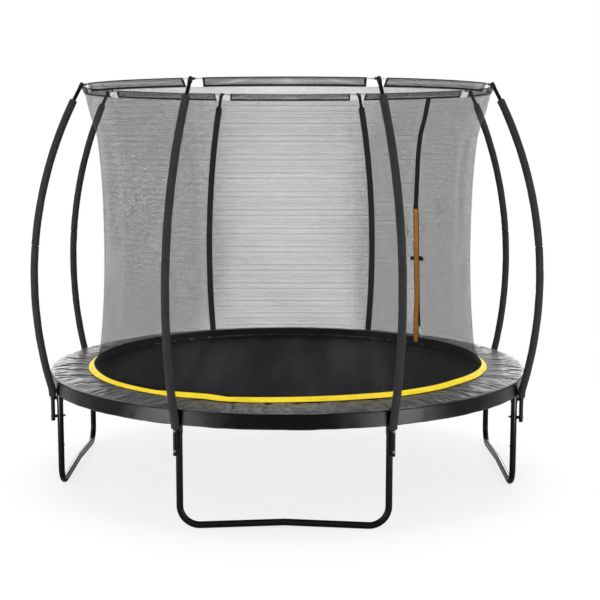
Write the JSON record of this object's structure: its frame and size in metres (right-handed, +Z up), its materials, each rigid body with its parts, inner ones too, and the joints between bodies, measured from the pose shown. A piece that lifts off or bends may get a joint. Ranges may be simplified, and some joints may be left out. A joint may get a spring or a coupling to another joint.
{
  "type": "garden trampoline",
  "caption": "Round garden trampoline on U-shaped legs, with a padded rim and a net enclosure hung from outward-curved foam-covered poles",
  "frame": {"origin": "on the ground under the middle of the jumping mat", "axes": "+Z up along the axis of the round frame; -Y towards the viewer in the picture, +X to the viewer's right; the net's door is 40 degrees round from +X towards +Y"},
  "size_m": [3.0758, 3.0758, 2.4693],
  "materials": {
    "black_steel": "gloss black paint over steel tube",
    "pole_steel": "satin black paint over steel tube",
    "black_plastic": "moulded black plastic",
    "zinc_steel": "zinc-plated steel",
    "slider_metal": "black enamelled metal",
    "foam_cover": "dark grey cover over soft foam",
    "rod_fibreglass": "light grey fibreglass rod",
    "net_cloth": "black polyester mesh and tape",
    "zip_plastic": "moulded zip chain",
    "orange_cloth": "orange polyester cloth",
    "mat_cloth": "woven black polypropylene",
    "pad_cover": "dark grey coated cloth over foam",
    "yellow_cloth": "yellow coated cloth"
  },
  "bodies": {
    "frame": {"buckle_socket": "black_plastic", "door_seam": "net_cloth", "edge_band": "yellow_cloth", "enclosure_net": "net_cloth", "foam_sleeves_lower": "foam_cover", "foam_sleeves_upper": "foam_cover", "frame_rail_1": "black_steel", "frame_rail_2": "black_steel", "frame_rail_3": "black_steel", "frame_rail_4": "black_steel", "frame_rail_5": "black_steel", "frame_rail_6": "black_steel", "frame_rail_7": "black_steel", "frame_rail_8": "black_steel", "leg_base_front": "black_steel", "leg_base_left": "black_steel", "leg_base_rear": "black_steel", "leg_base_right": "black_steel", "leg_extensions": "black_steel", "leg_screws": "zinc_steel", "net_hem": "net_cloth", "net_rod_sleeves": "net_cloth", "pad_skirt": "pad_cover", "pad_ties": "mat_cloth", "pole_bolts": "zinc_steel", "pole_caps": "black_plastic", "pole_foot_plugs": "black_plastic", "pole_lower_1": "pole_steel", "pole_lower_2": "pole_steel", "pole_lower_3": "pole_steel", "pole_lower_4": "pole_steel", "pole_lower_5": "pole_steel", "pole_lower_6": "pole_steel", "pole_lower_7": "pole_steel", "pole_lower_8": "pole_steel", "pole_nuts": "zinc_steel", "pole_spacers": "black_plastic", "pole_upper_1": "pole_steel", "pole_upper_2": "pole_steel", "pole_upper_3": "pole_steel", "pole_upper_4": "pole_steel", "pole_upper_5": "pole_steel", "pole_upper_6": "pole_steel", "pole_upper_7": "pole_steel", "pole_upper_8": "pole_steel", "safety_pad": "pad_cover", "socket_strap": "mat_cloth", "springs": "zinc_steel", "tee_sockets": "black_steel", "top_rods": "rod_fibreglass", "zip_chain": "zip_plastic", "zip_flap": "orange_cloth", "zip_tapes": "net_cloth"},
    "mat": {"jumping_mat": "mat_cloth", "mat_loops": "mat_cloth", "mat_rings": "zinc_steel"},
    "zip_slider": {"zip_slider": "slider_metal"},
    "zip_pull": {"zip_pull": "slider_metal"},
    "buckle_plug": {"buckle_plug": "black_plastic", "plug_strap": "mat_cloth"}
  },
  "joints": [
    {"name": "mat_bounce", "type": "slide", "parent": "frame", "child": "mat", "axis": [0, 0, 1], "range_m": [-0.15, 0], "stiffness_N_per_m": 5000, "springref_m": 0.03, "deforming": ["springs"]},
    {"name": "zip_slide", "type": "slide", "parent": "frame", "child": "zip_slider", "axis": [-0.0425, -0.0389, 0.9983], "range_m": [0, 0.761]},
    {"name": "zip_pull_swing", "type": "hinge", "parent": "zip_slider", "child": "zip_pull", "pos_m": [0.93216, 0.78277, 0.844], "axis": [0.6744, -0.7383, 0], "range_deg": [0, 150]},
    {"name": "buckle_release", "type": "slide", "parent": "frame", "child": "buckle_plug", "axis": [-0.6744, 0.7383, 0], "range_m": [0, 0.03]}
  ]
}
